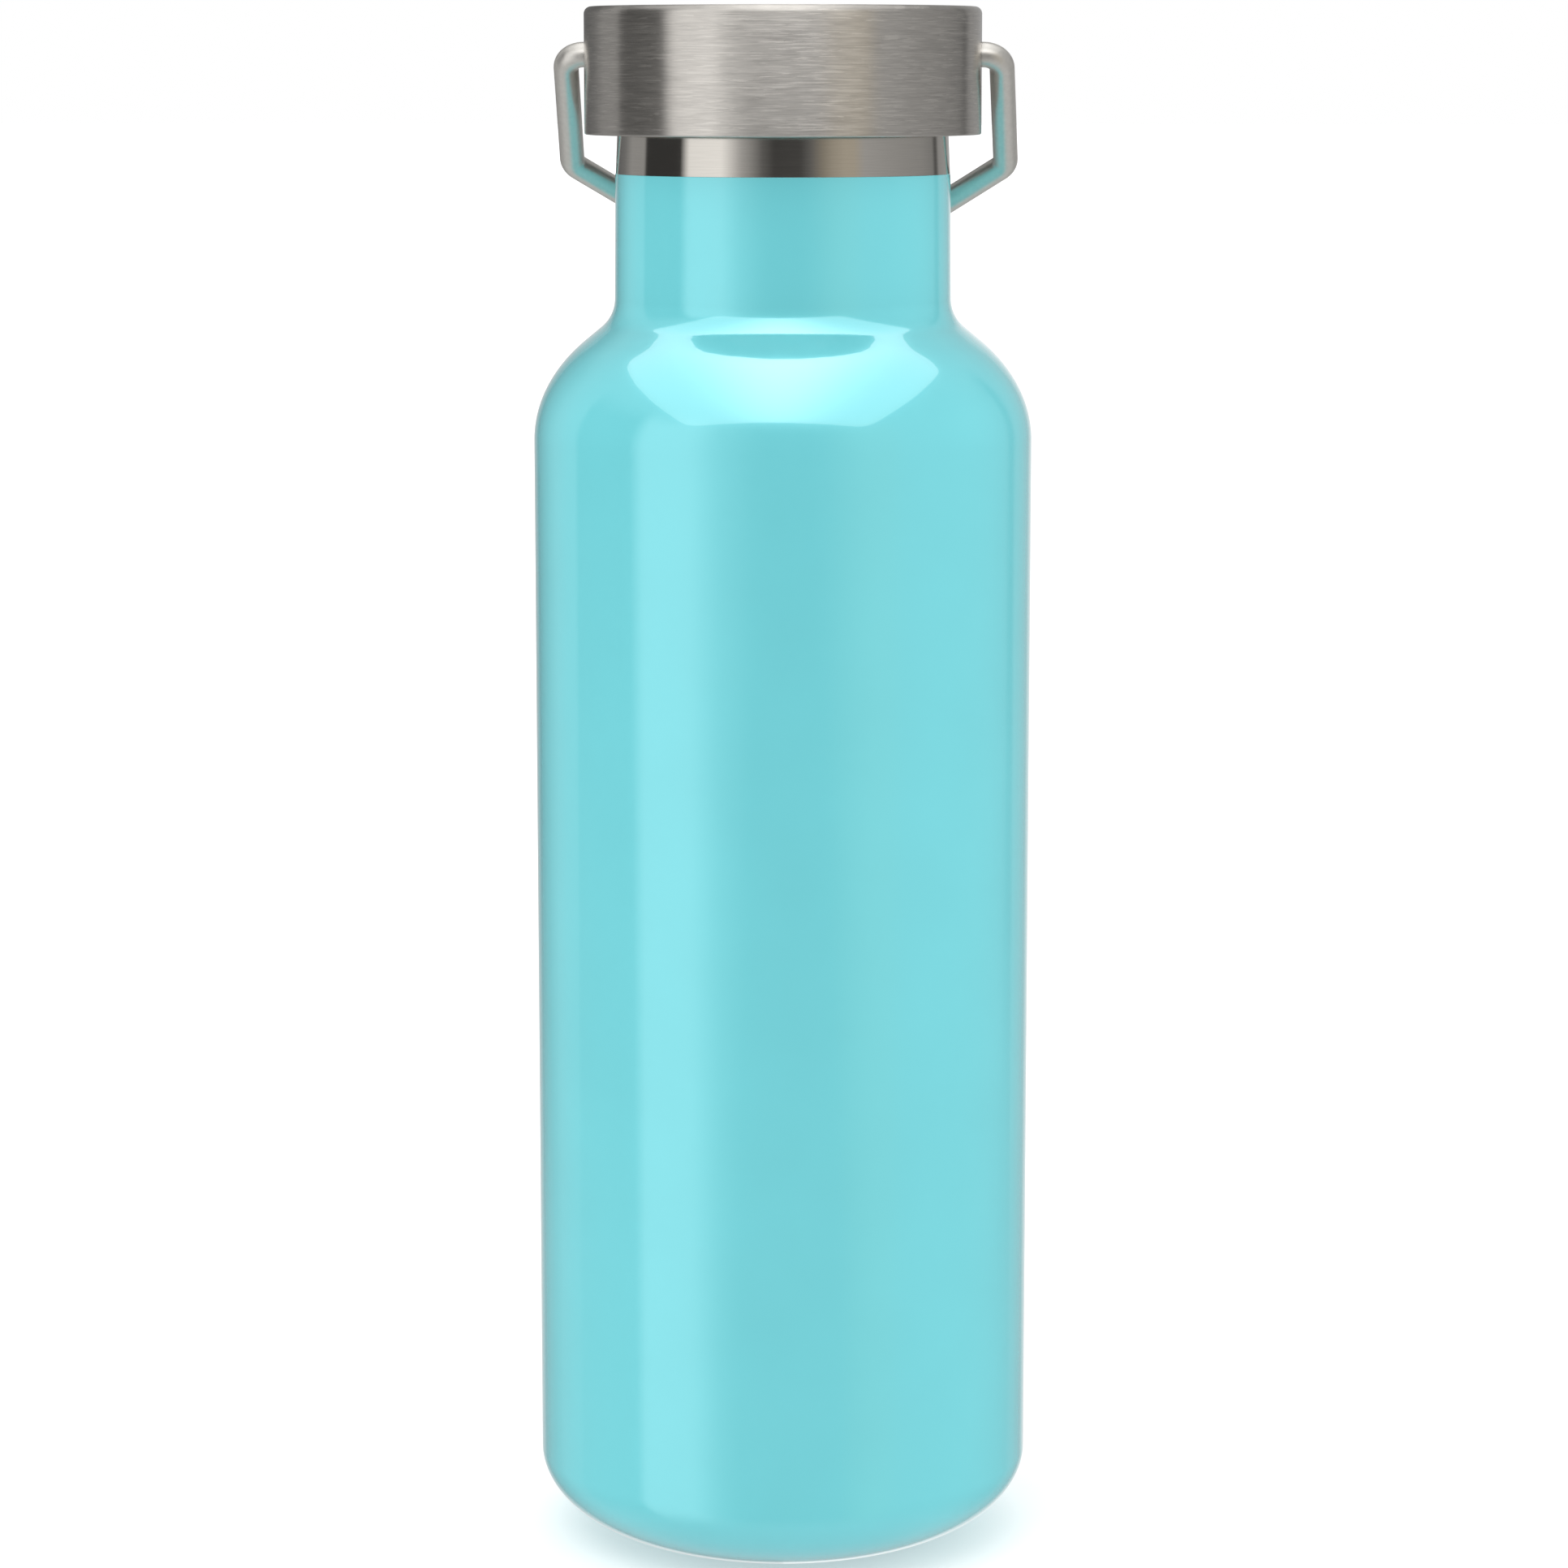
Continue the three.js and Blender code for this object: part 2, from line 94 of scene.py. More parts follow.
NECK_MIDDLE = 186 * MM           # the neck tapers a little more above this
PAINT_LINE = 195.1 * MM

LINER_R, LINER_NECK_R, LINER_STEEL = 32.1 * MM, 21.9 * MM, 0.4 * MM
LINER_CORNER_R, LINER_CORNER_Z = 8 * MM, 16 * MM         # of its rounded lower edge
LINER_TIGHTER = 2 * MM           # less radius in its shoulder than in the shell's
FOIL_THICKNESS, FOIL_WRINKLE = 0.15 * MM, 0.04 * MM
THREAD_PITCH = 4 * MM
THREAD_ROW = 0.14 * MM           # height of a row of faces on a threaded wall
THREAD_FADE = 0.12               # turns over which a thread grows from its wall at each end
FEMALE_START, FEMALE_TURNS, FEMALE_CREST = 192 * MM, 2.0, 1.0 * MM
MALE_START, MALE_TURNS, MALE_CREST = 190 * MM, 1.75, 1.25 * MM

PLUG_CORE_R, PLUG_WALL = 19.6 * MM, 1.6 * MM
FLANGE_Z = 206.5 * MM
SKIRT_INNER_R = 24.6 * MM

PIVOT_HOLE_R = 2.15 * MM         # in the lid's cup
PIVOT_ROW = 2.6 * MM             # from the pivots to the cup's nearest rows of points
BUSH_BORE_R, BUSH_BORE_START = 3.0 * MM, 21.6 * MM       # in the plug, for a bush's sleeve
BUSH_SEAT_R, BUSH_SEAT_DEPTH = 3.9 * MM, 1.4 * MM        # and for its flange
BUSH_INNER_R, BUSH_SLEEVE_R, BUSH_FLANGE = 2.05 * MM, 2.7 * MM, 0.8 * MM
PAST_CUP, PAST_SKIRT = 40 * MM, 30 * MM                  # how far out the cutting bars reach

ROD_R = 1.75 * MM
ROD_BEND = 2.6 * MM              # centre line radius of the handle's bends
PIN_END_X = 22.4 * MM
HANDLE_TOP_X, HANDLE_LOW_X, HANDLE_BAR_X = 30.4 * MM, 31.0 * MM, 15.15 * MM
HANDLE_LEG, HANDLE_LENGTH, HANDLE_TILT = 21.85 * MM, 36.13 * MM, math.radians(45)

# ---- outlines: lists of (radius, height) ----------------------------------------------------


def arc(r, z, a, b, start, end, steps):
    """Points on an arc of an ellipse, both ends included; angles run from +r towards +z."""
    turn = (end - start) / steps
    return [(r + a * math.cos(start + i * turn), z + b * math.sin(start + i * turn))
            for i in range(steps + 1)]


def offset(points, distance):
    """The points moved sideways, to the left of their direction of travel."""
    moved = []
    for i, (r, z) in enumerate(points):
        before, after = points[max(i - 1, 0)], points[min(i + 1, len(points) - 1)]
        along = Vector((after[0] - before[0], after[1] - before[1])).normalized()
        moved.append((r - along.y * distance, z + along.x * distance))
    return moved


def rounded(corners, steps=5):
    """A run of (radius, height, fillet) corners with each corner rounded by its fillet."""
    points = []
    for i, (r, z, fillet) in enumerate(corners):
        if fillet == 0 or i in (0, len(corners) - 1):
            points.append((r, z))
            continue
        here = Vector((r, z))
        back = (Vector(corners[i - 1][:2]) - here).normalized()
        ahead = (Vector(corners[i + 1][:2]) - here).normalized()
        half = back.angle(ahead) / 2
        reach = fillet / math.tan(half)
        centre = here + (back + ahead).normalized() * (fillet / math.sin(half))
        first, last = here + back * reach - centre, here + ahead * reach - centre
        for k in range(steps + 1):
            spoke = first.slerp(last, k / steps) if first.angle(last) > 1e-4 else first
            points.append(tuple(centre + spoke.normalized() * fillet))
    return points


def shoulder(cylinder_r, neck_r, start_z, a, b):
    """From the cylinder up: an ellipse, a cone tangent to it, and a hollow fillet into the neck."""
    dome = arc(cylinder_r - a, start_z, a, b, 0, SHOULDER_SWEEP, 28)
    along = Vector((-a * math.sin(SHOULDER_SWEEP), b * math.cos(SHOULDER_SWEEP))).normalized()
    out = Vector((along.y, -along.x))
    centre_r = neck_r + NECK_FILLET
    centre_z = dome[-1][1] + (NECK_FILLET - (centre_r - dome[-1][0]) * out.x) / out.y
    tangent = math.atan2(-out.y, -out.x)
    fillet = arc(centre_r, centre_z, NECK_FILLET, NECK_FILLET, tangent, -math.pi, 14)
    cone_top = fillet[0]
    cone = [(dome[-1][0] + (cone_top[0] - dome[-1][0]) * t, dome[-1][1] + (cone_top[1] - dome[-1][1]) * t)
            for t in (0.25, 0.5, 0.75)]
    return dome + cone + fillet


def shell_outside():
    """Outside of the painted shell, from the recess in the foot to the paint line."""
    foot = rounded([(FOOT_INNER_R, FOOT_RECESS, 0), (FOOT_INNER_R, 0, 0.5 * MM), (FOOT_OUTER_R, 0, 0.3 * MM),
                    (FOOT_OUTER_R + 0.5 * MM, 0.16 * MM, 0)], 6)
    heel = arc(BODY_R - HEEL_A, HEEL_B, HEEL_A, HEEL_B, -HEEL_SWEEP, 0, 30)
    wall = [(BODY_R, HEEL_B + (BODY_TOP - HEEL_B) * t / 12) for t in range(1, 12)]
    edge = rounded([(PAINT_LINE_R + 0.08 * MM, NECK_MIDDLE, 0), (PAINT_LINE_R, PAINT_LINE, 0.05 * MM),
                    (PAINT_LINE_R - PAINT, PAINT_LINE, 0)], 4)
    return foot + heel + wall + shoulder(BODY_R, NECK_R, BODY_TOP, SHOULDER_A, SHOULDER_B) + edge


# ---- mesh building --------------------------------------------------------------------------


def smooth_by_angle(mesh, smooth_angle=40):
    """Merges doubled points, turns the faces outward and shades them smooth, but for sharp edges."""
    bm = bmesh.new()
    bm.from_mesh(mesh)
    bmesh.ops.remove_doubles(bm, verts=bm.verts, dist=1e-7)
    bmesh.ops.recalc_face_normals(bm, faces=bm.faces)
    for face in bm.faces:
        face.smooth = True
    for edge in bm.edges:
        edge.smooth = len(edge.link_faces) != 2 or edge.calc_face_angle(0) <= math.radians(smooth_angle)
    bm.to_mesh(mesh)
    bm.free()


def new_piece(name, verts, faces, smooth_angle=40):
    mesh = bpy.data.meshes.new(name)
    mesh.from_pydata(verts, [], faces)
    mesh.validate()
    smooth_by_angle(mesh, smooth_angle)
    piece = bpy.data.objects.new(name, mesh)
    bpy.context.scene.collection.objects.link(piece)
    return piece


def turned(name, outline, around=AROUND, bump=None, smooth_angle=40):
    """A turned solid about Z. An outline that doesn't touch the axis closes on itself.

    bump(radius, height, angle) gives how far a point moves outward, as a thread needs.
    """
    verts, faces = [], []
    closed = outline[0][0] > 1e-9 or outline[-1][0] > 1e-9
    rows = len(outline)
    for k in range(around):
        angle = TAU * k / around
        for r, z in outline:
            out = r + (bump(r, z, angle) if bump else 0)
            verts.append((out * math.cos(angle), out * math.sin(angle), z))
    for k in range(around):
        here, there = k * rows, (k + 1) % around * rows
        for i in range(rows if closed else rows - 1):
            j = (i + 1) % rows
            faces.append((here + i, there + i, there + j, here + j))
    return new_piece(name, verts, faces, smooth_angle)


def smoothstep(low_edge, high_edge, value):
    t = min(max((value - low_edge) / (high_edge - low_edge), 0), 1)
    return t * t * (3 - 2 * t)


def thread(start_z, turns, crest, half_width):
    """Height of a rounded helical thread above its wall, which fades in and out at its ends."""
    def height(z, angle):
        most = 0.0
        for lap in range(math.ceil(turns) + 1):
            along = angle / TAU + lap
            if along > turns:
                continue
            side = abs(z - start_z - THREAD_PITCH * along) / half_width
            fade = smoothstep(0, THREAD_FADE, along) * smoothstep(0, THREAD_FADE, turns - along)
            most = max(most, crest * fade * math.sqrt(max(0, 1 - side * side)))
        return most
    return height


def rows_between(r, z0, z1, step):
    count = max(1, round(abs(z1 - z0) / step))
    return [(r, z0 + (z1 - z0) * i / count) for i in range(count + 1)]


def cut(piece, tool):
    """Cuts tool out of piece and removes tool."""
    boolean = piece.modifiers.new("cut", "BOOLEAN")
    boolean.object, boolean.operation, boolean.solver = tool, "DIFFERENCE", "EXACT"
    graph = bpy.context.evaluated_depsgraph_get()
    mesh = bpy.data.meshes.new_from_object(piece.evaluated_get(graph))
    piece.modifiers.clear()
    old, piece.data = piece.data, mesh
    mesh.name = piece.name
    smooth_by_angle(mesh)
    bpy.data.meshes.remove(old)
    bpy.data.objects.remove(tool)


def bar_along_x(name, radius, from_x, to_x):
    """A round bar along X at the pivots' height, used as a cutting tool."""
    ends = [(0, from_x), (radius, from_x), (radius, to_x), (0, to_x)]
    bar = turned(name, ends, AROUND_SMALL)
    bar.data.transform(Matrix.Translation((0, 0, PIVOT_Z)) @ Matrix.Rotation(math.pi / 2, 4, "Y"))
    return bar


# ---- materials ------------------------------------------------------------------------------


def node_maker(tree):
    """A short call that adds a node to tree, with its settings and its inputs' values or links."""
    def node(kind, values=(), **settings):
        made = tree.nodes.new("ShaderNode" + kind)
        for key, value in settings.items():
            setattr(made, key, value)
        for slot, value in dict(values).items():
            if isinstance(value, bpy.types.NodeSocket):
                tree.links.new(value, made.inputs[slot])
            else:
                made.inputs[slot].default_value = value
        return made
    return node


class Material:
    """A node material with short calls for the nodes that these finishes need."""

    def __init__(self, name, **inputs):
        self.material = bpy.data.materials.new(name)
        self.material.use_nodes = True
        self.links = self.material.node_tree.links
        self.node = node_maker(self.material.node_tree)
        self.shader = self.material.node_tree.nodes["Principled BSDF"]
        self.place = self.node("TexCoord").outputs["Object"]
        self.set(**inputs)

    def set(self, **inputs):
        for key, value in inputs.items():
            self.shader.inputs[key.replace("_", " ").title().replace("Ior", "IOR")].default_value = value

    def math(self, operation, a, b=0.0):
        return self.node("Math", {0: a, 1: b}, operation=operation).outputs[0]

    def noise(self, vector, scale=1.0, detail=3.0, roughness=0.5):
        values = {"Vector": vector, "Scale": scale, "Detail": detail, "Roughness": roughness}
        return self.node("TexNoise", values).outputs[0]

    def turned_streaks(self, along, across):
        """Noise drawn out round the Z axis, on walls and on flat ends alike."""
        x, y, z = self.node("SeparateXYZ", {0: self.place}).outputs
        radius = self.math("SQRT", self.math("ADD", self.math("MULTIPLY", x, x), self.math("MULTIPLY", y, y)))
        level = self.math("MULTIPLY", self.math("ADD", radius, z), across)
        values = {0: self.math("MULTIPLY", x, along), 1: self.math("MULTIPLY", y, along), 2: level}
        return self.noise(self.node("CombineXYZ", values).outputs[0], 1.0, 4.0, 0.6)

    def between(self, factor, low_value, high_value, low_in=0.3, high_in=0.7):
        """Factor mapped from its middle range to the range given."""
        values = {0: factor, 1: low_in, 2: high_in, 3: low_value, 4: high_value}
        return self.node("MapRange", values).outputs[0]

    def colour(self, factor, dark, light):
        ramp = self.node("ValToRGB", {0: factor})
        stops = ramp.color_ramp.elements
        stops[0].position, stops[1].position = 0.3, 0.7
        stops[0].color, stops[1].color = (*dark, 1), (*light, 1)
        self.links.new(ramp.outputs[0], self.shader.inputs["Base Color"])

    def roughness(self, socket):
        self.links.new(socket, self.shader.inputs["Roughness"])

    def bump(self, height, depth, strength=1.0):
        """Bump whose full height is depth, in metres."""
        values = {"Strength": strength, "Distance": depth, "Height": height}
        made = self.node("Bump", values)
        previous = self.shader.inputs["Normal"].links
        if previous:
            self.links.new(previous[0].from_socket, made.inputs["Normal"])
        self.links.new(made.outputs[0], self.shader.inputs["Normal"])
        return made.outputs[0]

    def tangent_round_z(self):
        tangent = self.node("Tangent", direction_type="RADIAL", axis="Z")
        self.links.new(tangent.outputs[0], self.shader.inputs["Tangent"])


def shade(value, factor):
    return tuple(channel * factor for channel in value)


def paint():
    """Gloss paint under a hard clear coat, with faint orange peel."""
    made = Material("gloss_paint", metallic=0.14, specular_ior_level=0.25,
                    coat_weight=1.0, coat_roughness=0.012, coat_ior=1.6)
    cyan = (0.151, 0.564, 0.614)
    drift = made.noise(made.place, 60.0, 2.0)
    made.colour(drift, shade(cyan, 0.985), shade(cyan, 1.015))
    made.roughness(made.between(made.noise(made.place, 900.0), 0.16, 0.22))
    peel = made.noise(made.place, 420.0, 1.5, 0.4)
    made.bump(peel, 0.0055 * MM)
    socket = made.bump(made.noise(made.place, 2600.0, 2.0), 0.0004 * MM)
    made.links.new(socket, made.shader.inputs["Coat Normal"])
    return made.material


def polished_steel():
    """Mirror-polished steel with faint turned lines."""
    made = Material("polished_steel", metallic=1.0, anisotropic=0.5, anisotropic_rotation=0.25)
    tint = (0.61, 0.58, 0.535)
    lines = made.turned_streaks(180.0, 9000.0)
    made.colour(lines, shade(tint, 0.96), shade(tint, 1.04))
    made.roughness(made.between(lines, 0.07, 0.12))
    made.bump(lines, 0.0006 * MM)
    made.tangent_round_z()
    return made.material


def brushed_steel():
    """Steel brushed round its axis: long fine scratches that spread reflections across them."""
    made = Material("brushed_steel", metallic=1.0, anisotropic=1.0, anisotropic_rotation=0.25)
    tint = (0.565, 0.54, 0.505)
    fine = made.turned_streaks(260.0, 5200.0)
    coarse = made.turned_streaks(120.0, 1500.0)
    both = made.math("ADD", made.math("MULTIPLY", fine, 0.65), made.math("MULTIPLY", coarse, 0.35))
    scratches = made.between(made.turned_streaks(200.0, 4200.0), 0.0, 0.5, 0.58, 0.66)
    both = made.math("ADD", both, scratches)
    made.colour(both, shade(tint, 0.80), shade(tint, 1.26))
    made.roughness(made.between(both, 0.27, 0.34))
    made.bump(both, 0.006 * MM)
    made.tangent_round_z()
    return made.material


def rod_steel():
    """Bright drawn rod with light marks of drawing and tumbling."""
    made = Material("rod_steel", metallic=0.88)
    tint = (0.66, 0.64, 0.60)
    marks = made.noise(made.place, 1500.0, 4.0, 0.6)
    made.colour(marks, shade(tint, 0.95), shade(tint, 1.05))
    made.roughness(made.between(marks, 0.32, 0.42))
    made.bump(made.noise(made.place, 700.0, 2.0), 0.004 * MM)
    return made.material


def inner_steel():
    """Electropolished inside of the bottle: satin, faintly turned."""
    made = Material("inner_steel", metallic=1.0, anisotropic=0.6, anisotropic_rotation=0.25)
    tint = (0.60, 0.59, 0.57)
    lines = made.turned_streaks(140.0, 3500.0)
    made.colour(lines, shade(tint, 0.93), shade(tint, 1.05))
    made.roughness(made.between(lines, 0.24, 0.34))
    made.bump(lines, 0.002 * MM)
    made.tangent_round_z()
    return made.material


def moulded_plastic():
    """Dark polypropylene with a fine moulded grain."""
    made = Material("moulded_plastic", specular_ior_level=0.4)
    tint = (0.030, 0.031, 0.034)
    grain = made.noise(made.place, 3200.0, 4.0, 0.6)
    made.colour(grain, shade(tint, 0.85), shade(tint, 1.2))
    made.roughness(made.between(grain, 0.42, 0.56))
    made.bump(grain, 0.012 * MM)
    return made.material


def foam():
    """Rigid cream foam with open cells, whose pits are painted darker as shade."""
    made = Material("foam", roughness=0.95)
    cells_and_pit_shade = made.node("TexVoronoi", {"Vector": made.place, "Scale": 1400.0}).outputs["Distance"]
    # Painted shade: the colour darkens towards each cell's middle, where the bump sinks into a pit.
    made.colour(cells_and_pit_shade, (0.66, 0.61, 0.48), (0.90, 0.86, 0.74))
    made.bump(cells_and_pit_shade, 0.25 * MM)
    return made.material


def silicone():
    """Milky silicone with a faint bloom."""
    made = Material("silicone", subsurface_weight=0.35, subsurface_scale=0.002, specular_ior_level=0.35)
    bloom = made.noise(made.place, 500.0)
    made.colour(bloom, (0.74, 0.77, 0.76), (0.82, 0.85, 0.84))
    made.roughness(made.between(bloom, 0.42, 0.58))
    made.bump(made.noise(made.place, 2400.0), 0.006 * MM)
    return made.material


def copper_foil():
    """Thin crinkled copper foil."""
    made = Material("copper_foil", metallic=1.0)
    creases = made.noise(made.place, 260.0, 6.0, 0.65)
    made.colour(creases, (0.72, 0.36, 0.20), (0.90, 0.52, 0.33))
    made.roughness(made.between(creases, 0.18, 0.34))
    made.bump(creases, 0.3 * MM)
    return made.material


def seal_glass():
    """Dark green-grey solder glass with tiny bubbles."""
    made = Material("seal_glass", ior=1.6)
    bubbles = made.node("TexVoronoi", {"Vector": made.place, "Scale": 2600.0}).outputs["Distance"]
    made.colour(bubbles, (0.035, 0.05, 0.042), (0.09, 0.12, 0.10))
    made.roughness(made.between(bubbles, 0.05, 0.16))
    made.bump(bubbles, 0.02 * MM)
    return made.material


def getter_metal():
    """Sintered grey metal pill."""
    made = Material("getter_metal", metallic=0.6)
    grains = made.noise(made.place, 3000.0, 6.0, 0.7)
    made.colour(grains, (0.10, 0.10, 0.105), (0.22, 0.22, 0.225))
    made.roughness(made.between(grains, 0.55, 0.8))
    made.bump(grains, 0.06 * MM)
    return made.material


PAINT_MATERIAL, POLISHED, BRUSHED, ROD = paint(), polished_steel(), brushed_steel(), rod_steel()
INNER, PLASTIC, FOAM, SILICONE = inner_steel(), moulded_plastic(), foam(), silicone()
FOIL, GLASS, GETTER = copper_foil(), seal_glass(), getter_metal()


def finish_piece(piece, body, slot, material, *nodes):
    piece.data.materials.clear()
    piece.data.materials.append(material)
    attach(piece, body)
    if nodes:
        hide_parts(*nodes)
    return piece


# ---- bottle ---------------------------------------------------------------------------------


def painted_shell():
    outside = shell_outside()
    inside = offset(outside[:-1], STEEL)[::-1]
    return finish_piece(turned("painted_shell", outside + inside, AROUND_SHELL), "bottle", "paint",
                        PAINT_MATERIAL, "outer_shell")


def neck_band():
    """Bare steel from just above the paint line to the mouth."""
    foot_r = PAINT_LINE_R - PAINT
    slope = [(foot_r - STEEL, PAINT_LINE + 0.01 * MM, 0), (foot_r, PAINT_LINE + 0.01 * MM, 0),
             (MOUTH_R, LID_BOTTOM, 0.4 * MM), (MOUTH_R, SHELL_TOP, 0.2 * MM),
             (MOUTH_R - STEEL, SHELL_TOP, 0)]
    return finish_piece(turned("neck_band", rounded(slope, 4), AROUND_SHELL), "bottle", "polished_steel",
                        POLISHED, "outer_shell")


def liner():
    """Inner vessel with its rolled thread and rounded mouth lip."""
    outside = arc(LINER_R - LINER_CORNER_R, LINER_CORNER_Z, LINER_CORNER_R, LINER_CORNER_R,
                  -0.4 * math.pi, 0, 14)
    outside += shoulder(LINER_R, LINER_NECK_R, BODY_TOP - 1 * MM,
                        SHOULDER_A - LINER_TIGHTER, SHOULDER_B - LINER_TIGHTER)
    inner_r = LINER_NECK_R - LINER_STEEL
    lip_low = LIP_TOP - 1.4 * MM
    lip = rounded([(LINER_NECK_R, lip_low, 0), (MOUTH_R - 0.05 * MM, lip_low, 0.3 * MM),
                   (MOUTH_R - 0.05 * MM, LIP_TOP, 0.7 * MM), (inner_r, LIP_TOP, 0.7 * MM),
                   (inner_r, LIP_TOP - 1.5 * MM, 0)], 5)
    threaded = rows_between(inner_r, LIP_TOP - 1.6 * MM, FEMALE_START - 1.4 * MM, THREAD_ROW)
    inside = offset(outside, LINER_STEEL)[::-1]
    ridge = thread(FEMALE_START, FEMALE_TURNS, FEMALE_CREST, 1.15 * MM)

    def bump(r, z, angle):
        in_thread = abs(r - inner_r) < 1e-6 and FEMALE_START - 2 * MM < z < LIP_TOP - 1.5 * MM
        return -ridge(z, angle) if in_thread else 0

    piece = turned("liner", outside + lip + threaded + inside, AROUND, bump)
    return finish_piece(piece, "bottle", "inner_steel", INNER, "inner_liner")


def dished_disc(name, node, material, slot):
    """Welded base: a flat rim round a shallow dome."""
    bottom, top, radius = low(node).z, high(node).z, high(node).x
    rise = top - bottom - STEEL
    flat_r = radius - RIM_WIDTH
    dome = [(flat_r * t / 24, bottom + rise * (1 + math.cos(math.pi * t / 24)) / 2) for t in range(25)]
    dome += [(radius - RIM_ROW, bottom), (radius, bottom)]
    upper = [(r, z + STEEL) for r, z in reversed(dome)]
    return finish_piece(turned(name, dome + upper, AROUND), "bottle", slot, material, node)


def bottle_base():
    piece = dished_disc("bottle_base", "outer_base", POLISHED, "polished_steel")
    cut(piece, turned("vent_tool", [(0, 0), (VENT_R, 0), (VENT_R, 12 * MM), (0, 12 * MM)], 32))
    return piece


def glass_bead():
    """Seal under the vent, with a soft rim where the glass has wetted the steel."""
    lo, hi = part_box("vacuum_seal")
    rim_z = hi.z - 0.25 * MM
    outline = [(0, lo.z)] + arc(0, rim_z, hi.x * 0.8, rim_z - lo.z, -math.pi / 2, 0, 12)[1:]
    outline += [(hi.x * 0.92, hi.z - 0.15 * MM), (hi.x, hi.z - 0.05 * MM), (hi.x, hi.z), (0, hi.z)]
    piece = turned("glass_bead", outline, AROUND_SMALL)
    return finish_piece(piece, "bottle", "seal_glass", GLASS, "vacuum_seal")


def getter_pill():
    lo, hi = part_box("getter")
    corners = [(0, lo.z, 0), (hi.x, lo.z, 0.25 * MM), (hi.x, hi.z, 0.25 * MM), (0, hi.z, 0)]
    piece = turned("getter_pill", rounded(corners), AROUND_SMALL)
    return finish_piece(piece, "bottle", "getter", GETTER, "getter")


def foil_sleeve():
    lo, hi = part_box("radiation_foil")
    step = 2.5 * MM

    def wrinkle(r, z, angle):
        return FOIL_WRINKLE * (math.sin(9 * angle + 210 * z) * math.sin(530 * z) - 1)

    outline = rows_between(hi.x, lo.z, hi.z, step) + rows_between(hi.x - FOIL_THICKNESS, hi.z, lo.z, step)
    piece = turned("foil_sleeve", outline, AROUND, wrinkle)
    return finish_piece(piece, "bottle", "copper_foil", FOIL, "radiation_foil")


# ---- lid ------------------------------------------------------------------------------------


def lid_cup():
    """Drawn steel cup with rounded edges, and a hole for each end of the handle."""
    inner = LID_R - STEEL
    corners = [(0, LID_TOP - STEEL, 0), (inner, LID_TOP - STEEL, 0.5 * MM), (inner, LID_BOTTOM, 0.2 * MM),
               (LID_R, LID_BOTTOM, 0.28 * MM), (LID_R, PIVOT_Z - PIVOT_ROW, 0),
               (LID_R, PIVOT_Z + PIVOT_ROW, 0), (LID_R, LID_TOP, 1.0 * MM), (0, LID_TOP, 0)]
    piece = turned("lid_cup", rounded(corners, 7), AROUND_SHELL)
    cut(piece, bar_along_x("pivot_hole_tool", PIVOT_HOLE_R, -PAST_CUP, PAST_CUP))
    return finish_piece(piece, "lid", "brushed_steel", BRUSHED, "lid_shell")


def plug():
    """Moulded plug: threaded core, flange, skirt, and a bore with a seat on each side for the pivot bushes.
    """
    core = PLUG_CORE_R
    lower = rounded([(0, PLUG_BOTTOM, 0), (core, PLUG_BOTTOM, 1.2 * MM), (core, MALE_START - 2 * MM, 0)], 6)
    thread_top = MALE_START + THREAD_PITCH * MALE_TURNS
    threaded = rows_between(core, MALE_START - 1.9 * MM, thread_top + 1.9 * MM, THREAD_ROW)
    upper = rounded([(core, MALE_START + 10 * MM, 0), (core, FLANGE_Z, 0.4 * MM),
                     (SKIRT_INNER_R, FLANGE_Z, 0.4 * MM), (SKIRT_INNER_R, SKIRT_BOTTOM, 0.4 * MM),
                     (SKIRT_R, SKIRT_BOTTOM, 0.4 * MM), (SKIRT_R, PLUG_TOP, 0.6 * MM),
                     (core - PLUG_WALL, PLUG_TOP, 0.3 * MM),
                     (core - PLUG_WALL, PLUG_BOTTOM + PLUG_WALL, 0.8 * MM),
                     (0, PLUG_BOTTOM + PLUG_WALL, 0)], 4)
    ridge = thread(MALE_START, MALE_TURNS, MALE_CREST, 1.3 * MM)

    def bump(r, z, angle):
        in_thread = abs(r - core) < 1e-6 and PLUG_BOTTOM + 1 * MM < z < FLANGE_Z - 2 * MM
        return ridge(z, angle) if in_thread else 0

    piece = turned("plug", lower + threaded + upper, AROUND, bump)
    for side in (-1, 1):
        cut(piece, bar_along_x("bush_bore_tool", BUSH_BORE_R, side * BUSH_BORE_START, side * PAST_SKIRT))
        seat_x = SKIRT_R - BUSH_SEAT_DEPTH
        cut(piece, bar_along_x("bush_seat_tool", BUSH_SEAT_R, side * seat_x, side * PAST_SKIRT))
    return finish_piece(piece, "lid", "plug_plastic", PLASTIC, "lid_plug")


def foam_block():
    lo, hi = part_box("lid_insulation")
    corners = [(0, lo.z, 0), (hi.x, lo.z, 0.8 * MM), (hi.x, hi.z, 0.8 * MM), (0, hi.z, 0)]
    return finish_piece(turned("foam_block", rounded(corners), 96), "lid", "foam", FOAM, "lid_insulation")


def seal_ring():
    """Gasket with two sealing ribs on its lower face."""
    lo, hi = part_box("lid_gasket")
    inner = PLUG_CORE_R + 0.3 * MM
    base = lo.z + 0.5 * MM
    corners = [(inner, base, 0), (inner + 1.1 * MM, base, 0.2 * MM), (inner + 1.3 * MM, lo.z, 0.2 * MM),
               (inner + 1.9 * MM, lo.z, 0.2 * MM), (inner + 2.1 * MM, base, 0.15 * MM),
               (hi.x - 2.0 * MM, base, 0.15 * MM), (hi.x - 1.8 * MM, lo.z, 0.2 * MM),
               (hi.x - 1.2 * MM, lo.z, 0.2 * MM), (hi.x - 1.0 * MM, base, 0.2 * MM),
               (hi.x, base, 0.3 * MM), (hi.x, hi.z, 0.4 * MM), (inner, hi.z, 0)]
    piece = turned("seal_ring", rounded(corners, 4), 128)
    return finish_piece(piece, "seal", "silicone", SILICONE, "lid_gasket")


